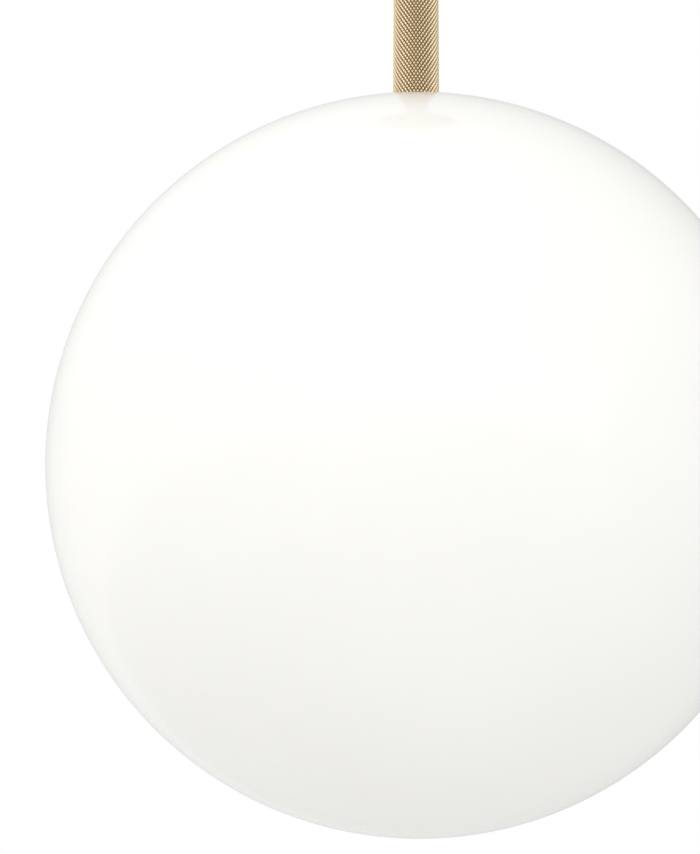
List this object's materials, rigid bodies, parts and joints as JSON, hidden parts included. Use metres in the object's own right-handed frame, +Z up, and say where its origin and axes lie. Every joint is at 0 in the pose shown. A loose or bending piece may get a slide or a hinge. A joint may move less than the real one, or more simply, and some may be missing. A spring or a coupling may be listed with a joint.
{
  "type": "pendant ceiling light",
  "caption": "Opal glass globe on a rigid knurled brass stem with a ceiling canopy; hangs plumb in a gimbal, globe and bulb unscrew.",
  "frame": {"origin": "on the ceiling, at the centre of the ceiling plate's upper face, on the light's axis", "axes": "+Z up into the ceiling, the light hangs along -Z; +X along the line of the two fixing slots; +Y towards the terminal block"},
  "size_m": [0.2, 0.2, 0.594],
  "materials": {
    "zinc_plated_steel": "bright zinc plate",
    "fastener_steel": "zinc plate",
    "knurled_brass": "diamond knurled, light antique brass",
    "satin_brass": "satin, light antique brass",
    "raw_brass": "bare turned brass",
    "turned_aluminium": "turned",
    "black_rubber": "matt",
    "clear_silicone": "matt, translucent",
    "ivory_polyamide": "moulded",
    "white_polyester": "moulded",
    "glazed_insulator": "glossy ceramic white",
    "brown_insulation": "extruded",
    "blue_insulation": "extruded",
    "green_yellow_insulation": "extruded, two-colour",
    "opal_glass": "glossy opal white",
    "nickel_plate": "nickel plate",
    "solder": "dull",
    "black_insulator": "vitrified black",
    "bulb_plastic": "satin",
    "bulb_diffuser": "frosted",
    "driver_board": "solder mask",
    "led_plate": "white solder mask",
    "led_phosphor": "phosphor"
  },
  "bodies": {
    "ceiling_mount": {"ceiling_plate": "zinc_plated_steel", "cable_grommet": "black_rubber", "yoke": "zinc_plated_steel", "yoke_screws": "fastener_steel", "yoke_pins": "fastener_steel", "pivot_washers": "raw_brass", "terminal_block": "ivory_polyamide", "terminal_clamps": "raw_brass", "terminal_screws": "fastener_steel", "block_screw": "fastener_steel", "earth_tag": "raw_brass", "earth_screw": "raw_brass"},
    "gimbal": {"gimbal_ring": "fastener_steel", "ring_pins": "fastener_steel"},
    "stem": {"stem_head": "satin_brass", "stem": "knurled_brass", "lead_live": "brown_insulation", "lead_neutral": "blue_insulation", "lead_earth": "green_yellow_insulation", "nipple": "raw_brass", "gallery_cap": "satin_brass", "globe_carrier": "turned_aluminium", "lock_washer": "fastener_steel", "carrier_nut": "fastener_steel", "lampholder_cap": "satin_brass", "lampholder_skirt": "white_polyester", "lampholder_insert": "glazed_insulator", "lampholder_shell": "raw_brass", "centre_contact": "raw_brass", "holder_terminals": "raw_brass", "holder_screws": "fastener_steel"},
    "canopy": {"canopy": "satin_brass", "canopy_collar": "satin_brass", "canopy_nut": "fastener_steel", "collar_screw": "fastener_steel"},
    "gasket": {"glass_gasket": "clear_silicone"},
    "globe": {"globe": "opal_glass", "glass_ring": "turned_aluminium"},
    "bulb_tip": {"bulb_pip": "solder"},
    "bulb": {"bulb_cap": "nickel_plate", "bulb_insulator": "black_insulator", "bulb_housing": "bulb_plastic", "bulb_driver": "driver_board", "led_board": "led_plate", "leds": "led_phosphor", "bulb_envelope": "bulb_diffuser"}
  },
  "joints": [
    {"name": "sway_x", "type": "hinge", "parent": "ceiling_mount", "child": "gimbal", "pos_m": [0, 0, -0.02], "axis": [1, 0, 0], "range_deg": [-4, 4], "deforming": ["lead_live", "lead_neutral", "lead_earth"]},
    {"name": "sway_y", "type": "hinge", "parent": "gimbal", "child": "stem", "pos_m": [0, 0, -0.02], "axis": [0, 1, 0], "range_deg": [-4, 4], "deforming": ["lead_live", "lead_neutral", "lead_earth"]},
    {"name": "canopy_slide", "type": "slide", "parent": "stem", "child": "canopy", "axis": [0, 0, -1], "range_m": [0, 0.335]},
    {"name": "globe_drop", "type": "slide", "parent": "stem", "child": "gasket", "axis": [0, 0, -1], "range_m": [0, 0.008]},
    {"name": "globe_turn", "type": "hinge", "parent": "gasket", "child": "globe", "pos_m": [0, 0, -0.494], "axis": [0, 0, -1], "range_deg": [0, 1440]},
    {"name": "bulb_drop", "type": "slide", "parent": "stem", "child": "bulb_tip", "axis": [0, 0, -1], "range_m": [0, 0.0085]},
    {"name": "bulb_turn", "type": "hinge", "parent": "bulb_tip", "child": "bulb", "pos_m": [0, 0, -0.48], "axis": [0, 0, -1], "range_deg": [0, 1080]}
  ],
  "couplings": [
    {"joint": "globe_drop", "follows": "globe_turn", "m_per_rad": 0.000318},
    {"joint": "bulb_drop", "follows": "bulb_turn", "m_per_rad": 0.000449}
  ]
}
